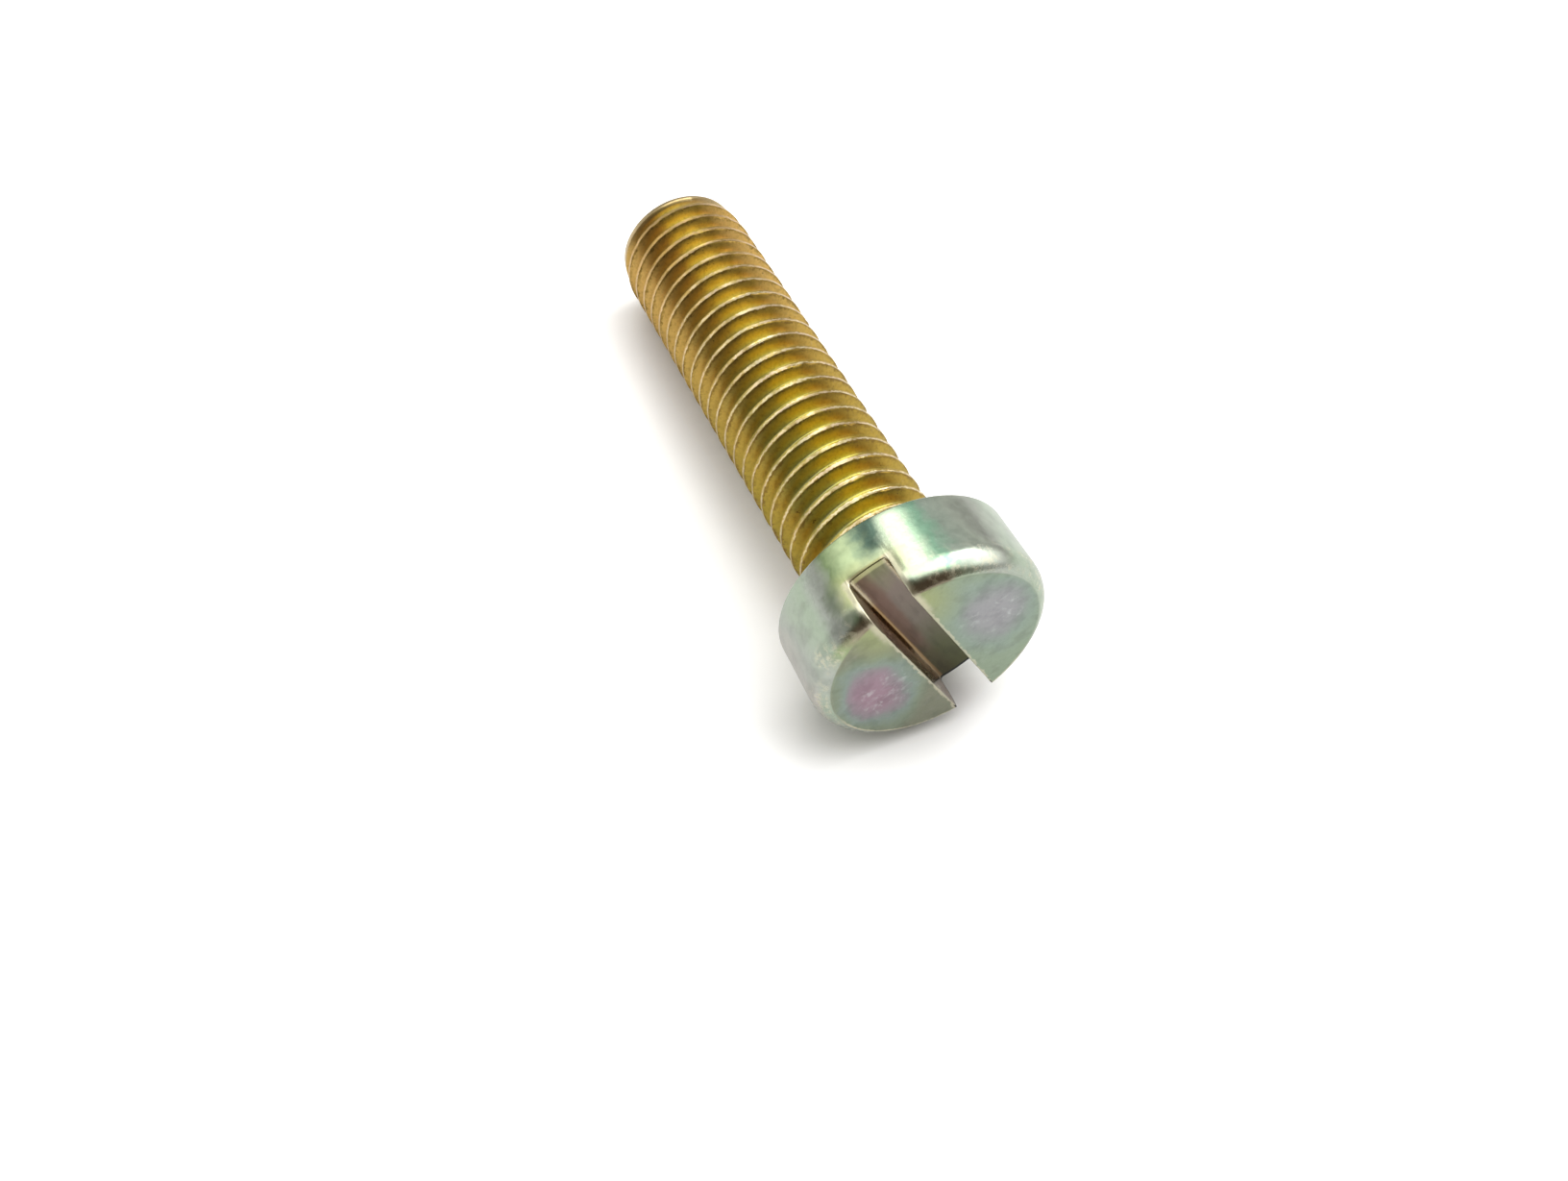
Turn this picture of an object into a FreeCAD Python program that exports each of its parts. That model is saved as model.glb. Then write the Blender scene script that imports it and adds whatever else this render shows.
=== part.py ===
"""Slotted cheese-head machine screw, M8 x 30, fully threaded, zinc plated and passivated.

The screw lies along the Y axis. The origin is the centre of the head's bearing face.
The shank runs towards +Y, the slotted end of the head faces -Y, and +Z is up.
All lengths are in millimetres.
"""

import FreeCAD, Part
import math
import os

# Thread, ISO metric M8 coarse, tolerance class 6g
nominal_d = 8.0
pitch = 1.25
crest_d = 7.80  # diameter over the crests
flank_half_angle_deg = 30.0
crest_phase = 1.0  # height above the bearing face where a crest crosses the +X side

# Shank
length = 30.0  # from the bearing face to the end
neck_length = 0.95  # plain neck between the bearing face and the thread
under_head_fillet = 0.40
runout_cone_deg = 45.0  # half angle of the cone on which the groove leaves the shank
runout_length = 0.70

# Lead-in taper and chamfered end
taper_start = 27.9  # height where the crests start to narrow
chamfer_start_d = 7.24
end_face_d = 6.10

# Head
head_d = 12.95
head_height = 4.70
head_seat_d = 12.86  # the head's side narrows a little towards the bearing face
seat_edge_radius = 0.10
rim_radial = 0.80  # rounded rim, measured across the slotted face
rim_axial = 1.20  # rounded rim, measured down the side

# Driver slot
slot_width = 2.20
slot_depth = 2.30
slot_angle_deg = 118.0  # direction of the slot about the axis, from +X towards +Z

# Derived thread sizes
fundamental_height = pitch * math.sqrt(3.0) / 2.0
pitch_r = (nominal_d - 0.75 * fundamental_height) / 2.0
crest_r = crest_d / 2.0
root_arc_r = fundamental_height / 6.0

# How far the cutters reach past the surface that they cut
groove_clearance = 0.15
past_end = 1.5 * pitch
slot_overhang = 1.0

AXIS = FreeCAD.Vector(0, 0, 1)
ORIGIN = FreeCAD.Vector(0, 0, 0)


def at(radius, z):
    """A point of an axial section: distance from the screw axis, height along it."""
    return FreeCAD.Vector(radius, 0, z)


def line(a, b):
    return Part.makeLine(a, b)


def rim_curve(flat_r, side_r, face_z):
    """Rounded rim between the slotted face and the side of the head: a quarter ellipse."""
    centre = at(flat_r, face_z + rim_axial)
    ellipse = Part.Ellipse(centre + at(0, -rim_axial), centre + at(rim_radial, 0), centre)
    side = ellipse.parameter(at(side_r, face_z + rim_axial))
    face = ellipse.parameter(at(flat_r, face_z))
    first, last = sorted((side, face))
    return ellipse.toShape(first, last)


def quarter_arc(start, centre, end):
    """Quarter circle from start to end about centre, bulging away from the centre."""
    middle = (start - centre) + (end - centre)
    middle.normalize()
    radius = (start - centre).Length
    return Part.Arc(start, centre + middle * radius, end).toShape()


def outline():
    """Closed half section of the whole screw before slotting and threading."""
    face_z = -head_height
    side_r = head_d / 2.0
    flat_r = side_r - rim_radial
    seat_r = head_seat_d / 2.0
    end_z = length
    chamfer_z = end_z - (chamfer_start_d - end_face_d) / 2.0

    side_low = at(seat_r, -seat_edge_radius)
    seat_outer = at(seat_r - seat_edge_radius, 0)
    seat_inner = at(pitch_r + under_head_fillet, 0)
    neck_start = at(pitch_r, under_head_fillet)
    neck_end = at(pitch_r, neck_length)
    shank_start = at(crest_r, neck_length + (crest_r - pitch_r))
    shank_end = at(crest_r, taper_start)
    chamfer_low = at(chamfer_start_d / 2.0, chamfer_z)
    end_corner = at(end_face_d / 2.0, end_z)

    edges = [
        line(at(0, face_z), at(flat_r, face_z)),
        rim_curve(flat_r, side_r, face_z),
        line(at(side_r, face_z + rim_axial), side_low),
        quarter_arc(side_low, at(seat_r - seat_edge_radius, -seat_edge_radius), seat_outer),
        line(seat_outer, seat_inner),
        quarter_arc(seat_inner, at(pitch_r + under_head_fillet, under_head_fillet), neck_start),
        line(neck_start, neck_end),
        line(neck_end, shank_start),
        line(shank_start, shank_end),
        line(shank_end, chamfer_low),
        line(chamfer_low, end_corner),
        line(end_corner, at(0, end_z)),
        line(at(0, end_z), at(0, face_z)),
    ]
    return Part.Wire(Part.__sortEdges__(edges))


def blank():
    """Headed blank: head, neck, plain shank and chamfered end, turned as one solid."""
    return Part.Face(outline()).revolve(ORIGIN, AXIS, 360)


def groove_section():
    """Section of the thread groove: two flanks and a rounded root, centred on height 0."""
    tan_flank = math.tan(math.radians(flank_half_angle_deg))
    sin_flank = math.sin(math.radians(flank_half_angle_deg))
    cos_flank = math.cos(math.radians(flank_half_angle_deg))
    apex_r = pitch_r - pitch / 4.0 / tan_flank
    arc_centre_r = apex_r + root_arc_r / sin_flank
    tangent_r = arc_centre_r - root_arc_r * sin_flank
    tangent_half = root_arc_r * cos_flank
    outer_r = crest_r + groove_clearance
    outer_half = pitch / 4.0 + (outer_r - pitch_r) * tan_flank

    low_root = at(tangent_r, -tangent_half)
    high_root = at(tangent_r, tangent_half)
    low_outer = at(outer_r, -outer_half)
    high_outer = at(outer_r, outer_half)
    root = Part.Arc(low_root, at(arc_centre_r - root_arc_r, 0), high_root).toShape()
    return Part.Wire([
        line(low_outer, low_root),
        root,
        line(high_root, high_outer),
        line(high_outer, low_outer),
    ])


def swept_groove(height, cone_deg):
    """Groove section carried along a right-hand helix of the given height."""
    helix = Part.makeLongHelix(pitch, height, pitch_r, cone_deg)
    return helix.makePipeShell([groove_section()], True, True)


def thread_cutters():
    """The full thread groove, and its run-out that rises out of the shank below the head."""
    groove_start = crest_phase + pitch / 2.0
    main = swept_groove(length + past_end - groove_start, 0)
    main.translate(at(0, groove_start))
    runout = swept_groove(runout_length, runout_cone_deg)
    runout.rotate(ORIGIN, FreeCAD.Vector(1, 0, 0), 180)
    runout.translate(at(0, groove_start))
    return [main, runout]


def slot_cutter():
    """Straight driver slot across the whole head."""
    reach = head_d + 2.0 * slot_overhang
    box = Part.makeBox(reach, slot_width, slot_depth + slot_overhang)
    box.translate(FreeCAD.Vector(-reach / 2.0, -slot_width / 2.0, -head_height - slot_overhang))
    box.rotate(ORIGIN, AXIS, -slot_angle_deg)
    return box


def screw():
    """Complete screw, turned so that its axis lies along +Y."""
    shape = blank().cut(slot_cutter())
    for cutter in thread_cutters():
        shape = shape.cut(cutter)
    shape.rotate(ORIGIN, FreeCAD.Vector(1, 0, 0), -90)
    return shape


def main():
    os.makedirs("parts", exist_ok=True)
    shape = screw()
    print("screw", shape.isValid(), len(shape.Solids), len(shape.Faces), round(shape.Volume, 2))
    shape.exportStep("parts/screw.step")


main()
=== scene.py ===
"""Slotted cheese-head screw, M8 x 30, yellow passivated: its looks, and a small studio around it.

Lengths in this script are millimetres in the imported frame, and become metres when a mesh is made.
The screw lies along Y, with the bearing face at y = 0, the shank towards +Y and the slotted face
towards -Y. Angles about the screw's axis run from +X towards +Z. The slot's lower end is the one
towards -Z, and its upper end the one towards +Z. A land is one half of the slotted face.
"""

import bmesh
import bpy
import math
import numpy as np
from functools import reduce
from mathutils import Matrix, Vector

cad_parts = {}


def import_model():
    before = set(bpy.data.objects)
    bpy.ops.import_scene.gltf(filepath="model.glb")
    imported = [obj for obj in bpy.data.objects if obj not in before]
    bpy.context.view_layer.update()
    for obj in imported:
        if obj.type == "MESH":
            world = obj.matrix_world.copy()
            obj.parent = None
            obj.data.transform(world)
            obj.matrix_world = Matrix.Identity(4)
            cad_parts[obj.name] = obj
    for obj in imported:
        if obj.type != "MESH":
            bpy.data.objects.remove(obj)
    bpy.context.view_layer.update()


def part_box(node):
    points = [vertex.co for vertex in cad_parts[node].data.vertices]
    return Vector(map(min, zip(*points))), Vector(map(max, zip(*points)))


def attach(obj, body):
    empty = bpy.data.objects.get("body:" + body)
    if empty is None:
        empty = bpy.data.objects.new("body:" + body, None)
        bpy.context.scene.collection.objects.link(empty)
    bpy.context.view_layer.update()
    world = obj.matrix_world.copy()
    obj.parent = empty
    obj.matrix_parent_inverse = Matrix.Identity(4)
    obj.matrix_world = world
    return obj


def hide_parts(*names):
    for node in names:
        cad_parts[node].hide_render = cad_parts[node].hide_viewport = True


MM = 0.001

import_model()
low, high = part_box("screw")

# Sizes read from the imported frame
length = high.y / MM
head_height = -low.y / MM
head_r = (high.x - low.x) / 2 / MM

# Thread
pitch = 1.25
pitch_r = 3.594
crest_r = 3.90
crest_phase = 1.0
flank_angle = math.radians(30)
flank_tan = math.tan(flank_angle)
root_arc_r = pitch * math.sqrt(3) / 12
root_centre_r = pitch_r - pitch / 4 / flank_tan + 2 * root_arc_r

# Shank ends
fillet_r = 0.40
neck_end = 0.95
full_crest_y = neck_end + crest_r - pitch_r
taper_start = 27.9
chamfer_start_r = 3.62
end_face_r = 3.05
chamfer_y = length - (chamfer_start_r - end_face_r)
runout_lift = 1.00
worn_from = (1.3, 1.8)
worn_until = (taper_start + 0.6, length - 0.6)
join_gap = 0.10
end_dish = [(2.8, 0.005), (2.4, 0.02), (1.9, 0.05), (1.3, 0.08), (0.7, 0.10), (0.25, 0.105)]

# Head
seat_r = 6.43
seat_edge_r = 0.10
rim_radial = 0.80
rim_axial = 1.20
rim_crease_deg = 14
face_y = -head_height
rim_y = face_y + rim_axial
flat_r = head_r - rim_radial
side_heights = (-3.15, -2.85, -2.1, -1.5, -0.9, -0.4)
seat_radii = (6.25, 5.6, 4.8, 4.1)

# Driver slot
slot_half = 1.10
slot_floor_y = -2.40
slot_angle = math.radians(118)
slot_along = np.array([math.cos(slot_angle), 0, math.sin(slot_angle)])
slot_across = np.array([-math.sin(slot_angle), 0, math.cos(slot_angle)])

# Small edges that the plain sizes leave out
slot_fillet_r = 0.20
slot_edge_r = 0.06
mouth_depth = 0.11
mouth_width = 0.42
burr_width = 0.022
burr_height = 0.020
burr_cuts = 90

# Where the head's mesh is cut along the slot, as distances from the slot's edge
slot_cuts = (-slot_fillet_r, -0.15, -0.04, 0.07, 0.15, 0.25, mouth_width)

# Mesh columns round the shank and the head, the angle that counts as sharp, and the distance that
# counts as none
columns = 144
head_columns = 120
sharp_deg = 40
tolerance = 1e-3
seed = 11

# Film on the thread's flanks by angle about the axis, the first list near the head and the second near the
# end. The colours by angle also carry painted shade and painted reflections of the room, such as the dim
# stop near 75 degrees
flank_gold = (0.49, 0.370, 0.060)
flank_bronze = (0.465, 0.315, 0.055)
flank_dim = (0.37, 0.245, 0.045)
flank_brass = (0.45, 0.340, 0.050)
flank_verdigris = (0.41, 0.330, 0.080)
flank_olive = (0.39, 0.295, 0.050)
flank_sand = (0.61, 0.385, 0.115)
flank_amber = (0.62, 0.450, 0.105)
flank_rust = (0.50, 0.315, 0.085)
flank_umber_and_shade = (0.24, 0.15, 0.035)
speck_brown = (0.07, 0.04, 0.015)
deep_tint = (0.97, 1.17, 1.70)
flank_film_and_shade = [(0, flank_olive), (50, flank_bronze), (74, flank_dim), (88, flank_brass),
              (104, flank_gold), (117, flank_verdigris), (138, flank_verdigris), (155, flank_bronze),
              (200, flank_gold), (240, flank_verdigris), (300, flank_bronze), (360, flank_olive)]
tanned_film_and_shade = [(0, flank_sand), (60, flank_sand), (76, flank_dim), (92, flank_amber), (108, flank_amber),
               (122, flank_rust), (140, flank_rust), (152, flank_sand), (360, flank_sand)]

# Crests and the shank's end
crest_cream = (0.80, 0.69, 0.42)
crest_pink = (0.76, 0.60, 0.38)
crest_tan = (0.66, 0.44, 0.22)
end_tan = (0.50, 0.385, 0.20)
end_film = [(0.30, (0.52, 0.34, 0.10)), (0.42, (0.50, 0.40, 0.13)), (0.50, (0.40, 0.42, 0.17)),
            (0.58, (0.47, 0.36, 0.16)), (0.68, (0.50, 0.30, 0.20))]

# Film on the head's side and rim, by angle about the axis. The side's bands also hold painted reflections
# of the room, as the teal, lime and deep moss stops near 109 to 131 degrees, and the rim's hold painted
# shade: the umber band from 88 to 134 degrees and the smoke from 225 to 325 degrees
silver = (0.42, 0.45, 0.40)
pale_sage = (0.38, 0.455, 0.35)
smoke = (0.27, 0.29, 0.25)
haze = (0.34, 0.36, 0.31)
mist = (0.54, 0.60, 0.50)
grey_green = (0.40, 0.48, 0.39)
bright_green = (0.27, 0.48, 0.33)
straw = (0.47, 0.56, 0.41)
teal = (0.155, 0.245, 0.185)
lime = (0.47, 0.57, 0.33)
deep_moss = (0.17, 0.23, 0.115)
moss = (0.32, 0.40, 0.21)
lilac_grey = (0.54, 0.52, 0.47)
umber = (0.33, 0.28, 0.20)
side_film_and_reflections = [(0, silver), (45, pale_sage), (60, haze), (70, mist), (80, grey_green), (88, bright_green),
             (97, straw), (104, straw), (109, teal), (113, teal), (120, lime), (131, deep_moss),
             (141, silver), (152, pale_sage), (170, silver), (190, lilac_grey), (235, pale_sage),
             (290, silver), (325, pale_sage), (360, silver)]
rim_film_and_shade = [(0, pale_sage), (30, pale_sage), (60, silver), (80, straw), (88, umber), (134, umber),
            (150, moss), (165, silver), (200, pale_sage), (225, smoke), (290, smoke), (325, smoke),
            (360, pale_sage)]

# Film on the lands, from their edges to their middles. The left land is the one towards -X
left_land_film = [(0.0, (0.23, 0.24, 0.17)), (0.25, (0.24, 0.29, 0.21)), (0.5, (0.25, 0.31, 0.27)),
                  (0.7, (0.30, 0.26, 0.28)), (1.0, (0.35, 0.235, 0.285))]
right_land_film = [(0.0, (0.28, 0.35, 0.25)), (0.35, (0.27, 0.34, 0.28)), (0.7, (0.29, 0.31, 0.30)),
                   (1.0, (0.33, 0.33, 0.34))]
slot_end_film = (0.33, 0.37, 0.18)

# Film in the slot, with its floor's from the lower end to the upper end, all darkened as painted shade of
# the recess, and a lighter painted highlight along the corner of floor and walls
slot_floor_film_and_shade = [(0.0, (0.070, 0.072, 0.014)), (0.25, (0.095, 0.100, 0.045)),
                   (0.5, (0.17, 0.145, 0.115)), (0.8, (0.20, 0.160, 0.135)), (1.0, (0.20, 0.200, 0.110))]
slot_red_film_in_shade = (0.145, 0.080, 0.058)
slot_wall_film_and_shade = (0.20, 0.088, 0.018)
slot_corner_highlight = (0.30, 0.195, 0.085)
slot_floor_half_length = 6.4

# Wear, painted highlights and painted shade
halo_yellow_and_lip_highlight = (0.62, 0.62, 0.30)
exit_shade_black = (0.004, 0.003, 0.002)
bare_cream_and_highlight = (0.66, 0.62, 0.46)
scuff_white = (0.66, 0.69, 0.68)
exit_shade_r = (6.09, 6.15)

# Middle of each land's film and of its scuffs, as distances from the slot's middle, and how far the
# film's middle lies from the head's axis along the slot
land_film_middle = 3.5
land_film_shift = 0.3
scuff_middle = 3.1

# Room that the metal reflects: each part's direction, degrees of full strength, degrees where it
# ends, and colour. Lights are added to the room, dark parts replace it
room_lights = {
    "window": ((0.72, -0.16, 0.69), 20, 44, (1.5, 1.5, 1.5)),
    "back_strip": ((0.12, 0.56, 0.82), 5, 13, (2.0, 2.0, 1.85)),
    "left_window": ((-0.62, 0.52, 0.56), 8, 26, (1.0, 1.0, 0.95)),
}
room_shades = {
    "front": ((-0.17, -0.95, 0.26), 30, 64, (0.15, 0.125, 0.095)),
    "camera": ((-0.33, -0.56, 0.76), 8, 26, (0.08, 0.065, 0.045)),
    "right_post": ((0.72, 0.30, 0.63), 7, 16, (0.30, 0.29, 0.27)),
    "back_post": ((-0.25, 0.56, 0.79), 3, 9, (0.20, 0.20, 0.19)),
}
room_by_height = [(0.47, (0.50, 0.49, 0.47)), (0.52, (0.62, 0.61, 0.59)), (0.67, (0.50, 0.49, 0.48)),
                  (0.82, (0.62, 0.62, 0.62)), (0.89, (0.90, 0.90, 0.90)), (0.95, (2.0, 2.0, 2.0)),
                  (1.0, (2.3, 2.3, 2.3))]

# Floor paper: as the camera sees it close to the screw, where its colour holds a painted shadow, and away
# from it, and as it lights the screw
floor_size = 1200
floor_shadow_reach = 4
paper_painted_shadow = (0.62, 0.60, 0.57)
paper_far = (1.23, 1.23, 1.23)
paper_lit = (0.86, 0.86, 0.86)

# Window light, aimed at the shank's middle
light_aim = (0, 10, 0)
light_direction = (0.70, 0.10, 0.70)
light_distance = 300
light_size = (140, 120)
light_watts = 0.20

# Camera
camera_place = (-24.530, -41.284, 60.076)
camera_down_deg = 51.675
camera_turn_deg = 24.061
lens_length = 34.7166
sensor_width = 36


# ---------------------------------------------------------------- noise

def value_noise(x, key):
    """Smooth seeded noise of one variable, between -1 and 1."""
    rng = np.random.default_rng(seed * 1000 + key)
    cells = 4096
    table = rng.uniform(-1, 1, cells)
    cell = np.floor(x).astype(int)
    t = x - cell
    t = t * t * (3 - 2 * t)
    return table[cell % cells] * (1 - t) + table[(cell + 1) % cells] * t


def smooth(x, start, end):
    """Smooth change from 0 to 1 as x goes from start to end."""
    t = np.clip((x - start) / (end - start), 0, 1)
    return t * t * (3 - 2 * t)


# ---------------------------------------------------------------- shank

def envelope_radius(y):
    """Radius of the unthreaded shank at height y."""
    heights = [0, neck_end, full_crest_y, taper_start, chamfer_y, length]
    radii = [pitch_r, pitch_r, crest_r, crest_r, chamfer_start_r, end_face_r]
    return np.interp(y, heights, radii)


def groove_radius(y, theta):
    """Radius of the groove, signed distance from the nearest crest's middle, and turns along that crest."""
    phase = (y - crest_phase) / pitch + theta / (2 * math.pi)
    from_groove = (phase - np.floor(phase) - 0.5) * pitch
    half = np.abs(from_groove)
    tangent_half = root_arc_r * math.cos(flank_angle)
    flank = pitch_r + (half - pitch / 4) / flank_tan
    root = root_centre_r - np.sqrt(np.maximum(root_arc_r ** 2 - half ** 2, 0))
    radius = np.where(half < tangent_half, root, flank)
    runout_start = crest_phase + pitch / 2
    lift = np.clip(runout_start - (y - from_groove), 0, runout_lift)
    crest = np.round(phase)
    return radius + lift, (phase - crest) * pitch, crest - theta / (2 * math.pi)


def crest_wear(from_crest, turns):
    """Small height changes of the crest: a rolling seam, slight waves and nicks."""
    along = turns * 2 * math.pi * crest_r
    on_crest = 1 - smooth(np.abs(from_crest), 0.13, 0.22)
    seam_depth = 0.020 * smooth(value_noise(along / 2.3, 1), 0.1, 0.9) + 0.003
    seam_shift = 0.03 * value_noise(along / 1.9, 2)
    seam = seam_depth * (1 - smooth(np.abs(from_crest - seam_shift), 0.0, 0.05))
    wave = 0.008 * value_noise(along / 1.1, 3) + 0.005 * value_noise(along / 0.37, 4)
    nick = 0.045 * smooth(value_noise(along / 0.45, 5), 0.80, 0.97)
    return on_crest * (wave - seam - nick)


def shank_radius(y, theta):
    """Radius of the threaded shank: the groove, or the worn crest where that is lower."""
    groove, from_crest, turns = groove_radius(y, theta)
    wear = crest_wear(from_crest, turns) * smooth(y, *worn_from) * (1 - smooth(y, *worn_until))
    return np.minimum(groove, envelope_radius(y) + wear)


def row_offsets():
    """Rows across one pitch, as shares of the pitch from the crest's middle."""
    half = [0.0, 0.05, 0.095, 0.128, 0.150, 0.21, 0.30, 0.39, 0.4688, 0.52, 0.575, pitch / 2]
    below = [-x for x in reversed(half[1:-1])]
    return np.array(half + [x + pitch for x in below]) / pitch


def shank_mesh(bm, start_y, end_y):
    """Thread as a grid whose rows follow the helix, cut square at both ends."""
    offsets = row_offsets()
    per_turn = len(offsets)
    first = math.floor((start_y - crest_phase) / pitch) - 1
    last = math.ceil((end_y - crest_phase) / pitch) + 2
    rows = np.concatenate([offsets + turn for turn in range(first, last)])
    theta = 2 * math.pi * np.arange(columns) / columns
    grid = []
    for row in rows:
        heights = crest_phase + pitch * (row - theta / (2 * math.pi))
        points = [(crest_r * math.cos(a), y, crest_r * math.sin(a)) for a, y in zip(theta, heights)]
        grid.append([bm.verts.new(point) for point in points])
    for i in range(len(rows) - 1):
        a, b = grid[i], grid[i + 1]
        for j in range(columns - 1):
            bm.faces.new((a[j], b[j], b[j + 1], a[j + 1]))
        if i >= per_turn:
            c, d = grid[i - per_turn], grid[i + 1 - per_turn]
            bm.faces.new((a[-1], b[-1], d[0], c[0]))
    cut(bm, (0, start_y, 0), (0, -1, 0), clear=True)
    cut(bm, (0, end_y, 0), (0, 1, 0), clear=True)
    for height in (neck_end, full_crest_y, taper_start, chamfer_y):
        cut(bm, (0, height, 0), (0, 1, 0), clear=False)
    place_shank(bm)


def place_shank(bm):
    """Moves every vertex of the grid to the shank's radius at its height and angle."""
    verts = list(bm.verts)
    co = np.array([v.co for v in verts])
    theta = np.arctan2(co[:, 2], co[:, 0]) % (2 * math.pi)
    radius = shank_radius(co[:, 1], theta)
    for v, a, r in zip(verts, theta, radius):
        v.co.x = r * math.cos(a)
        v.co.z = r * math.sin(a)


def cut(bm, point, normal, clear, faces=None):
    """Cuts the mesh, or only some of its faces, by a plane. With clear, the outer side is removed."""
    if faces is None:
        parts = bm.verts[:] + bm.edges[:] + bm.faces[:]
    else:
        edges = {e for f in faces for e in f.edges}
        parts = list({v for e in edges for v in e.verts}) + list(edges) + faces
    bmesh.ops.bisect_plane(bm, geom=parts, dist=1e-5, plane_co=point, plane_no=normal, clear_outer=clear)


def axis_angle(v):
    """Angle of a vertex about the screw's axis, from 0 to a full turn."""
    return math.atan2(v.co.z, v.co.x) % (2 * math.pi)


def boundary_ring(bm, y):
    """Vertices of an open end at height y, in order of angle."""
    ring = set()
    for edge in bm.edges:
        if edge.is_boundary and all(abs(v.co.y - y) < tolerance for v in edge.verts):
            ring.update(edge.verts)
    return sorted(ring, key=axis_angle)


def stitch(bm, ring_a, ring_b):
    """Closes the gap between two rings around the same axis that may have different counts."""
    full_turn = 2 * math.pi
    i = j = 0
    while i < len(ring_a) or j < len(ring_b):
        a, b = ring_a[i % len(ring_a)], ring_b[j % len(ring_b)]
        next_a, next_b = ring_a[(i + 1) % len(ring_a)], ring_b[(j + 1) % len(ring_b)]
        angle_a = axis_angle(next_a) + (full_turn if i + 1 >= len(ring_a) else 0)
        angle_b = axis_angle(next_b) + (full_turn if j + 1 >= len(ring_b) else 0)
        if j >= len(ring_b) or (i < len(ring_a) and angle_a <= angle_b):
            bm.faces.new((a, b, next_a))
            i += 1
        else:
            bm.faces.new((a, b, next_b))
            j += 1


# ---------------------------------------------------------------- turned surfaces

def turned(bm, profile, count, start_angle=0.0):
    """Revolves a list of (radius, y) points about the screw's axis. Returns the rings."""
    angles = [start_angle + 2 * math.pi * j / count for j in range(count)]
    rings = []
    for radius, y in profile:
        rings.append([bm.verts.new((radius * math.cos(a), y, radius * math.sin(a))) for a in angles])
    for lower, upper in zip(rings, rings[1:]):
        for j in range(count):
            k = (j + 1) % count
            bm.faces.new((lower[j], upper[j], upper[k], lower[k]))
    return rings


def arc(centre, radius, start_deg, end_deg, steps):
    """Points of an arc in the (radius, y) plane, both ends included."""
    points = []
    for i in range(steps + 1):
        a = math.radians(start_deg + (end_deg - start_deg) * i / steps)
        points.append((centre[0] + radius * math.cos(a), centre[1] + radius * math.sin(a)))
    return points


def rim_profile(steps=18):
    """Rounded rim from the flat face's edge, which it leaves at a small crease, to the side."""
    points = []
    first = math.radians(-90 + rim_crease_deg)
    for i in range(steps + 1):
        a = first * (1 - i / steps)
        outward = (math.cos(a) - math.cos(first)) / (1 - math.cos(first))
        down = 1 - math.sin(a) / math.sin(first)
        points.append((head_r - rim_radial * (1 - outward), face_y + rim_axial * down))
    return points


def head_profile():
    """Rim, slightly tapered side, edge, bearing face and fillet, in order from the flat face."""
    taper = (seat_r - head_r) / (-seat_edge_r - rim_y)
    side = [(head_r + taper * (y - rim_y), y) for y in side_heights]
    edge = arc((seat_r - seat_edge_r, -seat_edge_r), seat_edge_r, 0, 90, 5)
    seat = [(r, 0) for r in seat_radii]
    fillet = arc((pitch_r + fillet_r, fillet_r), fillet_r, -90, -180, 6)
    return rim_profile() + side + edge + seat + fillet


# ---------------------------------------------------------------- driver slot

def side_of_slot(co):
    """Signed distance from the slot's middle plane."""
    return float(np.dot(slot_across, co))


def along_slot(co):
    """Distance along the slot from the screw's axis, towards its upper end."""
    return float(np.dot(slot_along, co))


def fillet_rise(across):
    """How far the slot's surface rises above its floor at a distance from the slot's middle."""
    into = max(abs(across) - (slot_half - slot_fillet_r), 0)
    return slot_fillet_r - math.sqrt(max(slot_fillet_r ** 2 - into ** 2, 0))


def soften_mouth(bm):
    """Wears the head's side and rim down a little towards the edges of the slot."""
    start_y = face_y + 0.02
    full_y = face_y + 0.40
    for v in bm.verts:
        beyond = max(abs(side_of_slot(v.co)) - slot_half, 0) / mouth_width
        if beyond >= 1 or not start_y < v.co.y < slot_floor_y + 0.10:
            continue
        sine = min(max((rim_y - v.co.y) / rim_axial, 0), 1) * math.cos(math.radians(rim_crease_deg))
        tilt = math.atan(rim_radial / rim_axial * math.tan(math.asin(sine)))
        depth = mouth_depth * (1 - beyond) ** 2 * float(smooth(v.co.y, start_y, full_y))
        end = math.copysign(1, along_slot(v.co))
        v.co -= Vector(slot_along) * end * depth * math.cos(tilt)
        v.co.y += depth * math.sin(tilt)


def faces_near_slot(bm):
    """Faces within 0.9 mm of the slot and up to 1 mm past its floor, without the flat face."""
    found = []
    for face in bm.faces:
        middle = face.calc_center_median()
        if abs(side_of_slot(middle)) < slot_half + 0.9 and face_y + 0.01 < middle.y < slot_floor_y + 1.0:
            found.append(face)
    return found


def faces_inside_slot(bm):
    """Faces that the slot takes away. They lie between its walls and below its floor's height."""
    found = []
    for face in bm.faces:
        middle = face.calc_center_median()
        if abs(side_of_slot(middle)) < slot_half - 1e-4 and middle.y < slot_floor_y - 1e-4:
            found.append(face)
    return found


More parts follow.
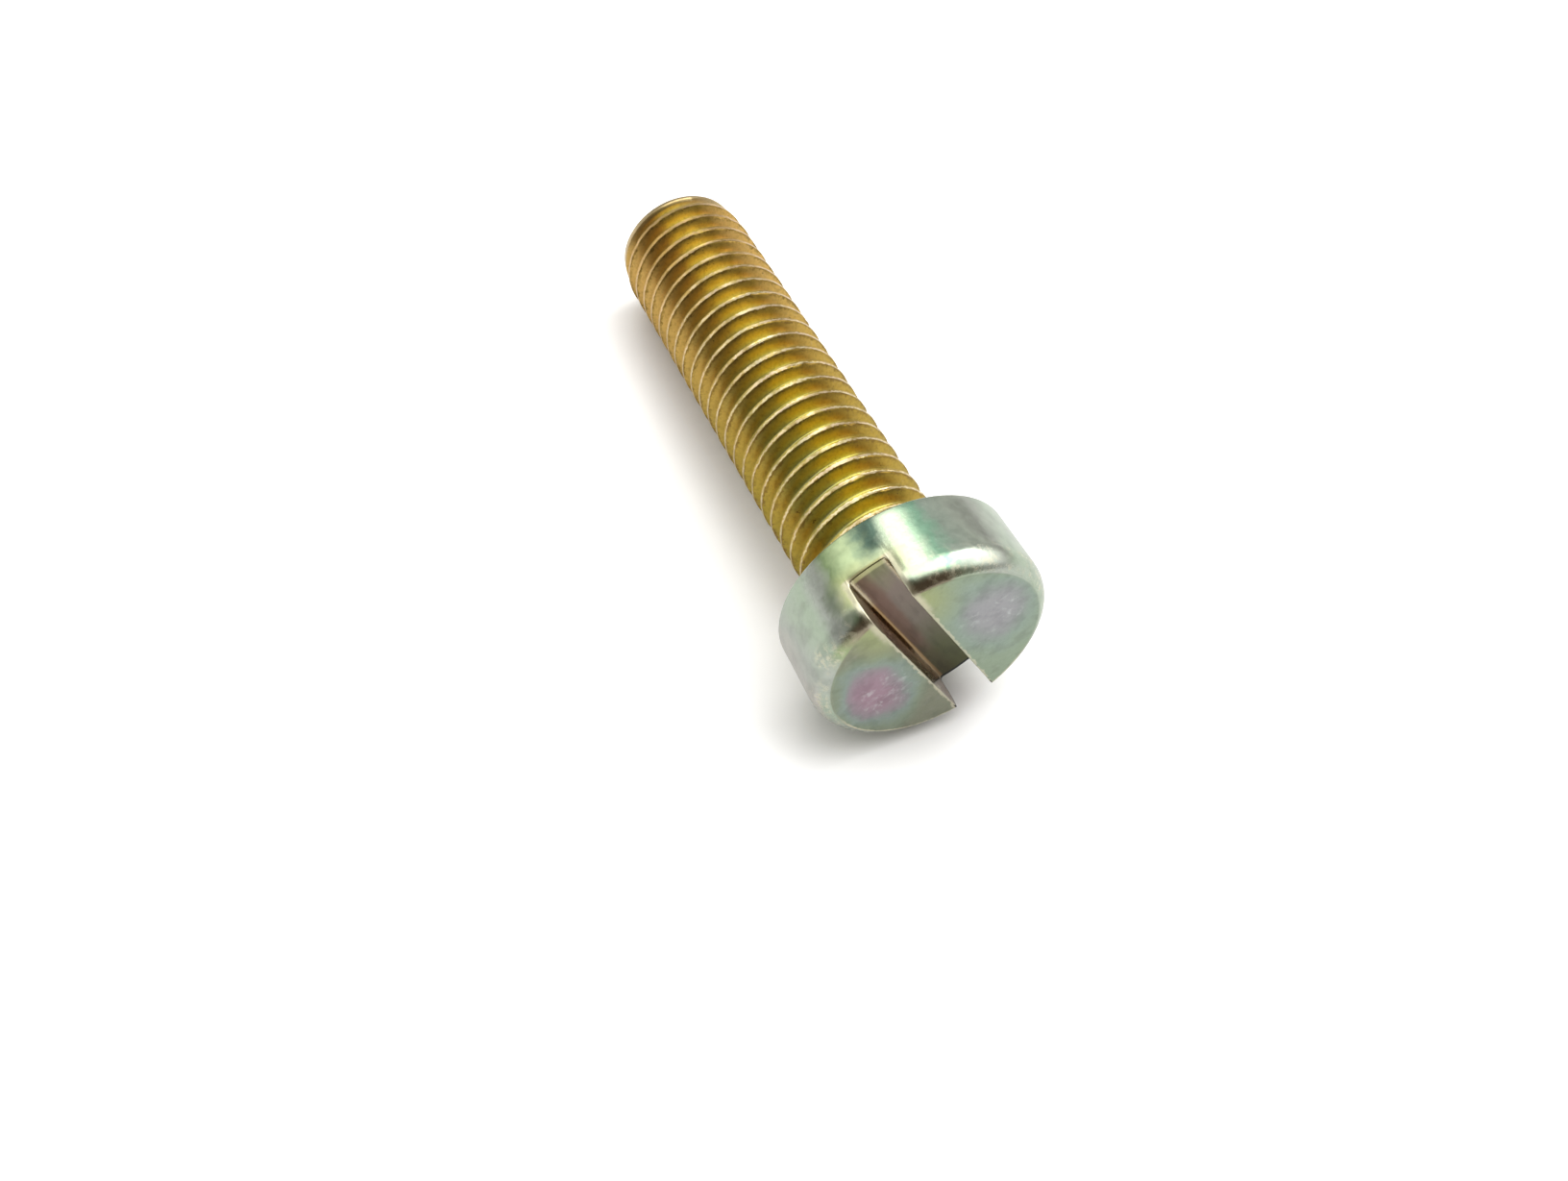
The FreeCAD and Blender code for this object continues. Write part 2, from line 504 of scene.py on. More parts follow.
def cut_slot(bm):
    """Cuts the driver slot out of the head and closes it with two walls and a filleted floor."""
    for side in (1, -1):
        cut(bm, Vector(slot_across * side * slot_half), Vector(slot_across), clear=False)
    cut(bm, (0, slot_floor_y, 0), (0, 1, 0), clear=False)
    for distance in slot_cuts:
        for side in (1, -1):
            point = Vector(slot_across * side * (slot_half + distance))
            cut(bm, point, Vector(slot_across), clear=False, faces=faces_near_slot(bm))
    bmesh.ops.delete(bm, geom=faces_inside_slot(bm), context="FACES")
    loose = [v for v in bm.verts if not v.link_faces]
    bmesh.ops.delete(bm, geom=loose, context="VERTS")
    ends = [floor_end(bm, 1), floor_end(bm, -1)]
    for v in ends[0] + ends[1]:
        v.co.y -= fillet_rise(side_of_slot(v.co))
    soften_mouth(bm)
    for side in (1, -1):
        bm.faces.new(wall_chain(bm, side))
    for a, b, c, d in zip(ends[0], ends[0][1:], ends[1][1:], ends[1]):
        bm.faces.new((a, b, c, d))


def floor_end(bm, end):
    """Open-edge vertices at one end of the slot's floor, in order across the slot."""
    found = set()
    for edge in bm.edges:
        if edge.is_boundary and all(abs(v.co.y - slot_floor_y) < tolerance for v in edge.verts):
            found.update(v for v in edge.verts if end * along_slot(v.co) > 0)
    return sorted(found, key=lambda v: side_of_slot(v.co))


def wall_chain(bm, side):
    """Open-edge vertices of one wall of the slot, in order around it."""
    wall = side * slot_half
    found = set()
    for edge in bm.edges:
        if edge.is_boundary and all(abs(side_of_slot(v.co) - wall) < tolerance for v in edge.verts):
            found.update(edge.verts)
    floor_y = slot_floor_y - slot_fillet_r
    return sorted(found, key=lambda v: math.atan2(floor_y - v.co.y, along_slot(v.co)))


def is_wall(face):
    return abs(abs(face.normal.dot(Vector(slot_across))) - 1) < tolerance


def is_channel(face):
    """True for the slot's walls, and for the long strips of its fillets and floor."""
    if is_wall(face):
        return True
    middle = face.calc_center_median()
    at_floor = abs(side_of_slot(middle)) < slot_half and abs(middle.y - slot_floor_y) < slot_fillet_r
    return at_floor and face.normal.y < -0.1 and face.calc_area() > 0.2


def slot_outline(bm):
    """Edges where the slot breaks through the head."""
    shared = [e for e in bm.edges if len(e.link_faces) == 2]
    return [e for e in shared if sum(is_channel(f) for f in e.link_faces) == 1]


def soften_slot_edges(bm):
    """Rounds the slot's outline, split finely enough to take a burr."""
    long_edges = [e for e in slot_outline(bm) if e.calc_length() > 2]
    bmesh.ops.subdivide_edges(bm, edges=long_edges, cuts=burr_cuts)
    bmesh.ops.bevel(bm, geom=slot_outline(bm), offset=slot_edge_r, segments=3, profile=0.6, affect="EDGES")
    many_sided = [f for f in bm.faces if len(f.verts) > 8]
    wide = [f for f in many_sided if f.calc_center_median().y < slot_floor_y - 0.1]
    bmesh.ops.inset_individual(bm, faces=wide, thickness=0.04, depth=0)
    raise_burr(bm)


def raise_burr(bm):
    """Leaves the land's edges along the slot slightly ragged, as sawing does."""
    near_face = [v for v in bm.verts if v.co.y < face_y + 0.1]
    edge = [v for v in near_face if -0.01 < abs(side_of_slot(v.co)) - slot_half < 1.2 * slot_edge_r]
    along = np.array([along_slot(v.co) for v in edge])
    side = np.sign([side_of_slot(v.co) for v in edge])
    patches = smooth(value_noise(along / 0.9 + 90, 7), -0.4, 0.6)
    ragged = value_noise(along * 7 + 50 * side + 200, 6) * patches
    for v, amount, way in zip(edge, ragged, side):
        v.co += Vector(slot_across) * way * burr_width * float(amount)
        v.co.y -= burr_height * max(float(amount), 0)


def head_mesh(bm):
    rings = turned(bm, head_profile(), head_columns, slot_angle)
    bm.faces.new(rings[0])
    cut_slot(bm)
    bmesh.ops.recalc_face_normals(bm, faces=bm.faces[:])
    soften_slot_edges(bm)


# ---------------------------------------------------------------- whole screw

def end_profile():
    """Chamfer's last bit and the slightly dished end face."""
    chamfer = [(end_face_r + 0.05, length - 0.05), (end_face_r + 0.015, length - 0.015)]
    face = [(end_face_r - 0.02, length)]
    dish = [(radius, length - depth) for radius, depth in end_dish]
    return chamfer + face + dish


def screw_mesh():
    """Shank, end and head in one closed mesh, in metres."""
    bm = bmesh.new()
    shank_mesh(bm, fillet_r + join_gap, length - join_gap)
    near_head = boundary_ring(bm, fillet_r + join_gap)
    near_end = boundary_ring(bm, length - join_gap)
    end = turned(bm, end_profile(), columns)
    bm.faces.new(end[-1])
    stitch(bm, near_end, end[0])
    head = bmesh.new()
    head_mesh(head)
    data = bpy.data.meshes.new("head_part")
    head.to_mesh(data)
    head.free()
    bm.from_mesh(data)
    bpy.data.meshes.remove(data)
    stitch(bm, near_head, boundary_ring(bm, fillet_r))
    bmesh.ops.recalc_face_normals(bm, faces=bm.faces[:])
    mark_sharp_edges(bm)
    bmesh.ops.scale(bm, vec=(MM, MM, MM), verts=bm.verts[:])
    mesh = bpy.data.meshes.new("screw_mesh")
    bm.to_mesh(mesh)
    bm.free()
    return mesh


def on_crease(v):
    """True for a vertex on the edge of the flat face."""
    return v.co.y < face_y + tolerance and abs(math.hypot(v.co.x, v.co.z) - flat_r) < tolerance


def mark_sharp_edges(bm):
    """Smooth faces with sharp edges at every corner and at the flat face's crease."""
    for face in bm.faces:
        face.smooth = True
    for edge in bm.edges:
        corner = edge.calc_face_angle(0) >= math.radians(sharp_deg)
        edge.smooth = not corner and not all(on_crease(v) for v in edge.verts)


# ---------------------------------------------------------------- node trees

class Graph:
    """Short calls for building a node tree."""

    def __init__(self, tree):
        self.nodes = tree.nodes
        self.links = tree.links

    def set(self, node, name, value):
        """Links an output to an input, or gives the input a plain value. Colours have three numbers."""
        socket = node.inputs[name]
        if isinstance(value, bpy.types.NodeSocket):
            self.links.new(value, socket)
        elif socket.type == "RGBA":
            socket.default_value = (*value, 1)
        else:
            socket.default_value = value

    def math(self, operation, *values):
        node = self.nodes.new("ShaderNodeMath")
        node.operation = operation
        for index, value in enumerate(values):
            self.set(node, index, value)
        return node.outputs[0]

    def total(self, *values):
        return reduce(lambda a, b: self.math("ADD", a, b), values)

    def product(self, *values):
        return reduce(lambda a, b: self.math("MULTIPLY", a, b), values)

    def highest(self, *values):
        return reduce(lambda a, b: self.math("MAXIMUM", a, b), values)

    def off(self, value, centre):
        """Distance of a value from a centre."""
        return self.math("ABSOLUTE", self.math("SUBTRACT", value, centre))

    def step(self, value, start, end, low=0.0, high=1.0):
        """Smooth change from low to high as value goes from start to end."""
        node = self.nodes.new("ShaderNodeMapRange")
        node.interpolation_type = "SMOOTHSTEP"
        self.set(node, "Value", value)
        for name, number in (("From Min", start), ("From Max", end), ("To Min", low), ("To Max", high)):
            self.set(node, name, number)
        return node.outputs["Result"]

    def mix(self, factor, a, b, blend="MIX"):
        """Colour between a and b. A factor over 1 counts as 1."""
        node = self.nodes.new("ShaderNodeMix")
        node.data_type = "RGBA"
        node.blend_type = blend
        self.set(node, "Factor", factor)
        self.set(node, "A", a)
        self.set(node, "B", b)
        return node.outputs["Result"]

    def ramp(self, value, stops):
        """Colour ramp from (position, colour) pairs in rising order."""
        node = self.nodes.new("ShaderNodeValToRGB")
        elements = node.color_ramp.elements
        while len(elements) < len(stops):
            elements.new(0.5)
        for element, (position, colour) in zip(elements, stops):
            element.position = position
            element.color = (*colour, 1)
        self.set(node, "Fac", value)
        return node.outputs["Color"]

    def scaled(self, vector, factor):
        node = self.nodes.new("ShaderNodeVectorMath")
        node.operation = "SCALE"
        self.set(node, 0, vector)
        self.set(node, "Scale", factor)
        return node.outputs[0]

    def dot(self, vector, direction):
        node = self.nodes.new("ShaderNodeVectorMath")
        node.operation = "DOT_PRODUCT"
        self.set(node, 0, vector)
        self.set(node, 1, tuple(direction))
        return node.outputs["Value"]

    def stretched(self, vector, scale, turned_by=0.0):
        """Vector turned about Y, then scaled along each axis. A scale under 1 draws a pattern out."""
        node = self.nodes.new("ShaderNodeMapping")
        node.vector_type = "TEXTURE"
        self.set(node, "Vector", vector)
        self.set(node, "Rotation", (0.0, turned_by, 0.0))
        self.set(node, "Scale", [1 / number for number in scale])
        return node.outputs[0]

    def noise(self, vector, scale, detail):
        node = self.nodes.new("ShaderNodeTexNoise")
        self.set(node, "Vector", vector)
        self.set(node, "Scale", scale)
        self.set(node, "Detail", detail)
        return node.outputs["Fac"]

    def wobble(self, vector, scale, detail, reach):
        """Noise around zero, from -reach to reach."""
        return self.math("MULTIPLY_ADD", self.noise(vector, scale, detail), 2 * reach, -reach)

    def lobe(self, direction, aim, inner_deg, outer_deg):
        """1 within inner_deg of aim, fading to 0 at outer_deg."""
        facing = self.dot(direction, Vector(aim).normalized())
        return self.step(facing, math.cos(math.radians(outer_deg)), math.cos(math.radians(inner_deg)))


class Place:
    """Where a shaded point lies on the screw, in millimetres and turns, as node outputs.

    across and along are measured from the axis, across the slot and along it, off_slot is the distance
    from the slot's middle plane, and from_crest is the signed distance from the nearest crest's middle.
    """

    def __init__(self, g):
        self.point = g.scaled(g.nodes.new("ShaderNodeTexCoord").outputs["Object"], 1 / MM)
        split = g.nodes.new("ShaderNodeSeparateXYZ")
        g.set(split, 0, self.point)
        self.x, self.y, self.z = split.outputs
        self.radius = g.math("SQRT", g.total(g.product(self.x, self.x), g.product(self.z, self.z)))
        self.turn = g.math("DIVIDE", g.math("ARCTAN2", self.z, self.x), 2 * math.pi)
        self.across = g.dot(self.point, slot_across)
        self.along = g.dot(self.point, slot_along)
        self.off_slot = g.math("ABSOLUTE", self.across)
        # 100 whole turns keep the phase above zero, and half a turn puts the crest at 0.5
        phase = g.total(g.math("DIVIDE", g.math("SUBTRACT", self.y, crest_phase), pitch), self.turn)
        fraction = g.math("FRACT", g.total(phase, 100.5))
        self.from_crest = g.product(g.math("SUBTRACT", fraction, 0.5), pitch)
        self.on_shank = g.step(self.y, 0.0, 0.5)


def wandering_turn(g, place, reach):
    """Angle about the axis in turns from 0 to 1, shifted by noise so that bands of film wander."""
    wander = g.wobble(place.point, 0.7, 4, reach)
    return g.math("FRACT", g.total(place.turn, wander, 1.0))


def by_angle(stops):
    """The same stops with degrees turned into turns."""
    return [(angle / 360, colour) for angle, colour in stops]


def toned(g, colour, noise, spread):
    """Colour darkened where the noise is under 0.5, by up to the spread."""
    tone = g.step(noise, 0.3, 0.7, 1 - spread, 1 + spread)
    return g.mix(1.0, colour, g.mix(tone, (0, 0, 0), (1, 1, 1)), "MULTIPLY")


# ---------------------------------------------------------------- material: shank

def thread_colour(g, place):
    """Gold film on the flanks, tanned towards the end, with thinner and paler film on the crests. The flank
    colours by angle also carry painted shade and reflections, and a line of painted shade lies at each
    crest's foot.
    """
    # Flank film by angle, which also holds painted shade and painted reflections
    flank = g.ramp(wandering_turn(g, place, 0.05), by_angle(flank_film_and_shade))
    tanned = g.ramp(wandering_turn(g, place, 0.03), by_angle(tanned_film_and_shade))
    flank = g.mix(g.step(place.y, 7.0, 27.0, 0.0, 0.95), flank, tanned)
    clouds = g.step(g.noise(place.point, 3.0, 4), 0.56, 0.76, 0.0, 0.35)
    flank = g.mix(clouds, flank, flank_umber_and_shade)
    lengthwise = g.stretched(place.point, (1.0, 0.4, 1.0))
    flank = toned(g, flank, g.noise(lengthwise, 7.0, 5), 0.15)
    crosswise = g.stretched(place.point, (0.3, 1.0, 0.3))
    flank = toned(g, flank, g.noise(crosswise, 10.0, 4), 0.12)
    specks = g.step(g.noise(place.point, 4.2, 2), 0.735, 0.76, 0.0, 0.7)
    flank = g.mix(specks, flank, speck_brown)
    deep = g.mix(g.step(place.radius, 3.56, 3.28), (1, 1, 1), deep_tint)
    flank = g.mix(1.0, flank, deep, "MULTIPLY")
    # Painted shade at the foot of each crest, in the umber that also darkens the flanks in random clouds
    flank = g.mix(crest_shadow(g, place), flank, flank_umber_and_shade)
    pink_patches = g.step(g.noise(place.point, 0.55, 3), 0.4, 0.6)
    crest = g.mix(pink_patches, crest_cream, crest_pink)
    crest = g.mix(g.step(place.y, 18.0, 28.0), crest, crest_tan)
    thread = g.mix(crest_mask(g, place), flank, crest)
    at_end = g.step(place.y, taper_start + 0.9, length - 0.7)
    return g.mix(at_end, thread, end_colour(g, place))


def end_colour(g, place):
    """Uneven film on the chamfer and the end face: tan outside, gold with green and rose clouds inside."""
    clouds = g.ramp(g.noise(place.point, 0.50, 3), end_film)
    inside = g.step(g.total(place.radius, g.noise(place.point, 1.5, 4)), 3.3, 2.6)
    colour = g.mix(inside, end_tan, clouds)
    colour = toned(g, colour, g.noise(place.point, 4.0, 6), 0.18)
    specks = g.step(g.noise(place.point, 5.0, 3), 0.68, 0.74, 0.0, 0.6)
    return g.mix(specks, colour, speck_brown)


def crest_edge(g, place):
    """Distance from the crest's middle with a ragged, wandering error."""
    ragged = g.wobble(place.point, 5.5, 6, 0.13)
    broad = g.wobble(place.point, 0.9, 3, 0.06)
    return g.total(place.from_crest, 0.015, ragged, broad)


def crest_mask(g, place):
    """1 on the rolled crest, with ragged edges and worn gaps: widened on top as a painted highlight,
    weakened at -X as painted shade, and weaker at the end.
    """
    # Painted highlight: the crest band is wider on top, where the light catches it
    highlight_widening = g.step(g.off(place.x, -0.7), 2.2, 0.6, 0.0, 0.035)
    edge = g.math("SUBTRACT", g.math("ABSOLUTE", crest_edge(g, place)), highlight_widening)
    on_crest = g.product(g.step(edge, 0.035, 0.085, 1.0, 0.0), g.step(place.radius, 3.66, 3.76))
    gaps = g.step(g.noise(place.point, 2.4, 5), 0.34, 0.60, 0.30, 1.0)
    towards_end = g.step(place.y, 20.0, 29.0, 1.0, 0.70)
    # Painted shade: the crest band is weaker towards -X
    left_shade = g.step(place.x, -2.6, -1.6, 0.80, 1.0)
    return g.product(on_crest, gaps, towards_end, left_shade)


def crest_shadow(g, place):
    """1 on the thin line of painted shade at the foot of the crest, on its head side."""
    edge = crest_edge(g, place)
    line = g.product(g.step(edge, -0.20, -0.13), g.step(edge, -0.05, -0.09))
    return g.product(line, g.step(g.noise(place.point, 1.7, 4), 0.35, 0.60, 0.35, 0.95))


# ---------------------------------------------------------------- material: head

def land_film(g, place):
    """Thickness of the film on the slotted face, from 0 at its edge to 1 in the middle of each land."""
    aside = g.math("SUBTRACT", place.off_slot, land_film_middle)
    ahead = g.math("SUBTRACT", place.along, land_film_shift)
    far = g.math("SQRT", g.total(g.product(aside, aside), g.product(ahead, ahead, 0.45)))
    return g.step(g.total(far, g.wobble(place.point, 0.5, 4, 0.8)), 0.5, 3.1, 1.0, 0.0)


def land_colour(g, place):
    """Film of each land, and a greener film beside the slot's upper end."""
    film = land_film(g, place)
    left = g.ramp(film, left_land_film)
    right = g.ramp(film, right_land_film)
    land = g.mix(g.step(place.across, -0.5, 0.5), right, left)
    by_slot_end = g.product(g.step(place.along, 1.5, 5.0), g.step(place.off_slot, 3.4, 1.4))
    land = g.mix(by_slot_end, land, slot_end_film)
    land = toned(g, land, g.noise(place.point, 1.1, 5), 0.16)
    return toned(g, land, g.noise(place.point, 6.0, 3), 0.05)


def slot_colour(g, place):
    """Dark film in the slot with painted shade of the recess: olive to pink on the floor, darkest at its
    lower end, brown on the walls, and a painted highlight along the corner.
    """
    share = g.math("DIVIDE", g.total(place.along, slot_floor_half_length), 2 * slot_floor_half_length)
    along = g.total(share, g.wobble(place.point, 0.7, 4, 0.12))
    ground = g.ramp(along, slot_floor_film_and_shade)
    streak = g.stretched(place.point, (0.25, 1.0, 1.0), -slot_angle)
    band = g.total(place.across, g.wobble(streak, 1.2, 5, 0.4))
    reddish = g.product(g.step(band, -0.1, 0.45), g.step(along, 0.15, 0.45, 0.2, 0.75))
    ground = g.mix(reddish, ground, slot_red_film_in_shade)
    ground = toned(g, ground, g.noise(streak, 2.4, 6), 0.20)
    on_wall = g.step(place.y, slot_floor_y - 0.05, slot_floor_y - 0.35)
    colour = g.mix(on_wall, ground, slot_wall_film_and_shade)
    # Painted highlight along the fillet between floor and walls
    corner = g.product(g.step(place.y, slot_floor_y - 0.32, slot_floor_y - 0.16),
                       g.step(place.off_slot, slot_half - 0.28, slot_half - 0.16))
    return g.mix(corner, colour, slot_corner_highlight)


def head_colour(g, place, worn):
    """Film on the side, the rim, the lands and in the slot, with painted reflections and shade, and the
    wear, painted highlights and a painted dark line over it.
    """
    turn = wandering_turn(g, place, 0.03)
    # Film by angle, with painted reflections on the side and painted shade on the rim
    side = g.ramp(turn, by_angle(side_film_and_reflections))
    rim = g.ramp(turn, by_angle(rim_film_and_shade))
    outside = g.mix(g.step(place.y, face_y + 0.50, face_y + 0.22), side, rim)
    outside = toned(g, outside, g.noise(place.point, 0.9, 5), 0.16)
    outside = toned(g, outside, g.noise(place.point, 5.0, 3), 0.05)
    on_face = g.step(place.y, face_y + 0.04, face_y + 0.01)
    colour = g.mix(on_face, outside, land_colour(g, place))
    in_slot = g.product(g.step(place.off_slot, slot_half + 0.015, slot_half),
                        g.step(place.y, face_y + 0.04, face_y + 0.10),
                        g.step(place.y, slot_floor_y + 0.20, slot_floor_y + 0.10))
    colour = g.mix(in_slot, colour, slot_colour(g, place))
    colour = g.mix(g.product(slot_halo_and_lip_highlight(g, place), 0.50), colour, halo_yellow_and_lip_highlight)
    colour = g.mix(worn, colour, bare_cream_and_highlight)
    return g.mix(painted_exit_shade(g, place), colour, exit_shade_black)


def slot_halo_and_lip_highlight(g, place):
    """1 on the yellower film around the slot's upper end, and on the floor's lip there, where it is a
    painted highlight.
    """
    off_slot = g.total(place.off_slot, g.wobble(place.point, 1.1, 4, 0.45))
    beside = g.product(g.step(off_slot, 2.3, 1.2),
                       g.step(place.y, slot_floor_y + 1.10, slot_floor_y - 0.20),
                       g.step(place.y, face_y + 0.50, face_y + 1.50),
                       g.step(place.radius, 5.9, 6.1))
    # Painted highlight on the floor's lip at the slot's upper end
    lip = g.product(g.step(place.radius, 6.30, 6.38),
                    g.step(place.y, slot_floor_y + 0.12, slot_floor_y + 0.07),
                    g.step(place.off_slot, slot_half + 0.04, slot_half - 0.02))
    return g.product(g.highest(beside, lip), g.step(place.along, 2.0, 4.0))


def worn_edges_and_highlights(g, place):
    """1 where handling has rubbed the film off, on the slot's edges and patches of the rim, and on painted
    highlights along the rounded mouth at the slot's upper end and the flat's edge towards -Z.
    """
    ragged = g.wobble(place.point, 5.0, 4, 0.08)
    from_slot = g.total(g.off(place.off_slot, slot_half + 0.04), ragged)
    torn = g.total(from_slot, g.wobble(place.point, 2.2, 6, 0.20), -0.02)
    land_edge = g.product(g.step(torn, 0.09, 0.02, 0.0, 0.65),
                          g.step(place.y, face_y + 0.25, face_y + 0.10))
    # Painted highlight on the rounded mouth at the slot's upper end
    mouth_highlight = g.product(g.step(from_slot, 0.42, 0.06, 0.0, 0.8),
                      g.step(place.along, 3.0, 4.5),
                      g.step(place.y, slot_floor_y + 0.25, slot_floor_y + 0.05))
    # Painted highlight along the flat's edge towards -Z
    from_crease = g.total(g.off(place.radius, flat_r + 0.02), ragged)
    crease = g.product(g.step(from_crease, 0.08, 0.03),
                       g.step(place.y, face_y + 0.20, face_y + 0.10),
                       g.step(place.z, -1.5, -4.0, 0.05, 0.9))
    frost = g.product(g.step(place.y, rim_y + 0.50, rim_y - 0.20),
                      g.step(place.y, face_y + 0.01, face_y + 0.15),
                      g.step(g.noise(place.point, 3.6, 7), 0.46, 0.62),
                      g.step(g.noise(place.point, 0.5, 3), 0.38, 0.56))
    return g.highest(land_edge, mouth_highlight, crease, g.product(frost, 0.50))


def rim_narrowing(g, place):
    """How much smaller than the side's radius the head is at a point's height."""
    into_rim = g.math("DIVIDE", g.math("SUBTRACT", rim_y, place.y), rim_axial)
    into_rim = g.math("MINIMUM", g.highest(into_rim, 0.0), 1.0)
    remaining = g.math("SQRT", g.math("SUBTRACT", 1.0, g.product(into_rim, into_rim)))
    return g.math("MULTIPLY_ADD", remaining, -rim_radial, rim_radial)


def painted_exit_shade(g, place):
    """1 on the slot's edges at the lower end of the head, where a painted dark line stands for the shaded
    floor under the head reflected in the edge.
    """
    wall_edge = g.product(g.step(place.off_slot, slot_half - 0.05, slot_half - 0.02),
                          g.step(place.off_slot, slot_half + 0.07, slot_half + 0.04))
    floor_edge = g.product(g.step(place.y, slot_floor_y - 0.22, slot_floor_y - 0.10),
                           g.step(place.off_slot, slot_half + 0.05, slot_half))
    out = g.total(place.radius, rim_narrowing(g, place), g.wobble(place.point, 3.0, 4, 0.04))
    outer = g.product(g.step(out, *exit_shade_r),
                      g.step(place.along, -1.0, -2.0),
                      g.step(place.y, slot_floor_y + 0.10, slot_floor_y + 0.04))
    return g.product(g.highest(wall_edge, floor_edge), outer)


# ---------------------------------------------------------------- material: whole screw

def scratches(g, place):
    """Short light scuffs, crowded in the middle of each land and sparse elsewhere."""
    marks = []
    for angle, scale in ((0.3, 2.6), (1.1, 2.2), (2.5, 3.4)):
        strokes = g.stretched(place.point, (1.0, 1.0, 0.6), angle)
        marks.append(g.step(g.noise(strokes, scale, 7), 0.55, 0.72))
    aside = g.math("SUBTRACT", place.off_slot, scuff_middle)
    far = g.total(g.product(aside, aside), g.product(place.along, place.along))
    crowd = g.product(g.step(far, 5.0, 0.5, 0.15, 1.0),
                      g.step(place.y, face_y + 0.10, face_y + 0.01, 0.12, 1.0),
                      g.step(g.noise(place.point, 0.9, 3), 0.40, 0.62))
    return g.product(g.highest(*marks), crowd)


def roughness(g, place, worn):
    """Shinier on the head's side than on the shank, and duller on the lands and where worn."""
    grain = g.wobble(place.point, 3.0, 4, 0.08)
    shank = g.product(place.on_shank, 0.11)
    land = g.product(g.step(place.y, face_y + 0.10, face_y + 0.01), 0.12)
    return g.total(shank, 0.23, land, g.product(worn, 0.15), grain)


def fine_bumps(g, place, marks):
    """Normals of a fine grain, which is flatter in the slot, and of the scuffs."""
    in_slot = g.product(g.step(place.off_slot, slot_half + 0.03, slot_half),
                        g.step(place.y, slot_floor_y + 0.1, slot_floor_y))
    grain = g.product(g.noise(place.point, 6.0, 5), g.step(in_slot, 0.0, 1.0, 1.0, 0.2))
    bump = g.nodes.new("ShaderNodeBump")
    g.set(bump, "Strength", 0.35)
    g.set(bump, "Distance", 0.012 * MM)
    g.set(bump, "Height", g.math("SUBTRACT", grain, g.product(marks, 0.5)))
    return bump.outputs["Normal"]


def plated_steel():
    """Metal with a thin coloured film, worn edges, scuffs and a fine grain, and with painted highlights,
    shade and reflections in its colour.
    """
    material = bpy.data.materials.new("plated_steel")
    material.use_nodes = True
    g = Graph(material.node_tree)
    shader = g.nodes["Principled BSDF"]
    place = Place(g)
    # Worn edges, with painted highlights at the slot's upper mouth and the flat's edge towards -Z
    worn = worn_edges_and_highlights(g, place)
    marks = scratches(g, place)
    colour = g.mix(place.on_shank, head_colour(g, place, worn), thread_colour(g, place))
    g.set(shader, "Base Color", g.mix(g.product(marks, 0.42), colour, scuff_white))
    g.set(shader, "Metallic", 1.0)
    g.set(shader, "Roughness", roughness(g, place, worn))
    g.set(shader, "Normal", fine_bumps(g, place, marks))
    return material


# ---------------------------------------------------------------- stage, light, camera

def floor_paper():
    """White paper, with a painted shadow where the camera sees it close to the screw."""
    material = bpy.data.materials.new("floor_paper")
    material.use_nodes = True
    g = Graph(material.node_tree)
    shader = g.nodes["Principled BSDF"]
    seen = g.nodes.new("ShaderNodeLightPath").outputs["Is Camera Ray"]
    near = g.nodes.new("ShaderNodeAmbientOcclusion")
    g.set(near, "Distance", floor_shadow_reach * MM)
    g.set(shader, "Base Color", g.mix(seen, paper_lit, g.mix(near.outputs["AO"], paper_painted_shadow, paper_far)))
    g.set(shader, "Roughness", 0.9)
    return material


def floor():
    """Plane that touches the head's edge and the last thread crests."""
    head_y, head_z = -seat_edge_r, -seat_r
    end_y, end_z = taper_start, -crest_r
    slope = math.atan2(end_z - head_z, end_y - head_y)
    middle_z = head_z - head_y * math.tan(slope)
    bpy.ops.mesh.primitive_plane_add(size=floor_size * MM, location=(0, 0, middle_z * MM))
    plane = bpy.context.object
    plane.name = "floor"
    plane.rotation_euler = (slope, 0, 0)
    plane.data.materials.append(floor_paper())


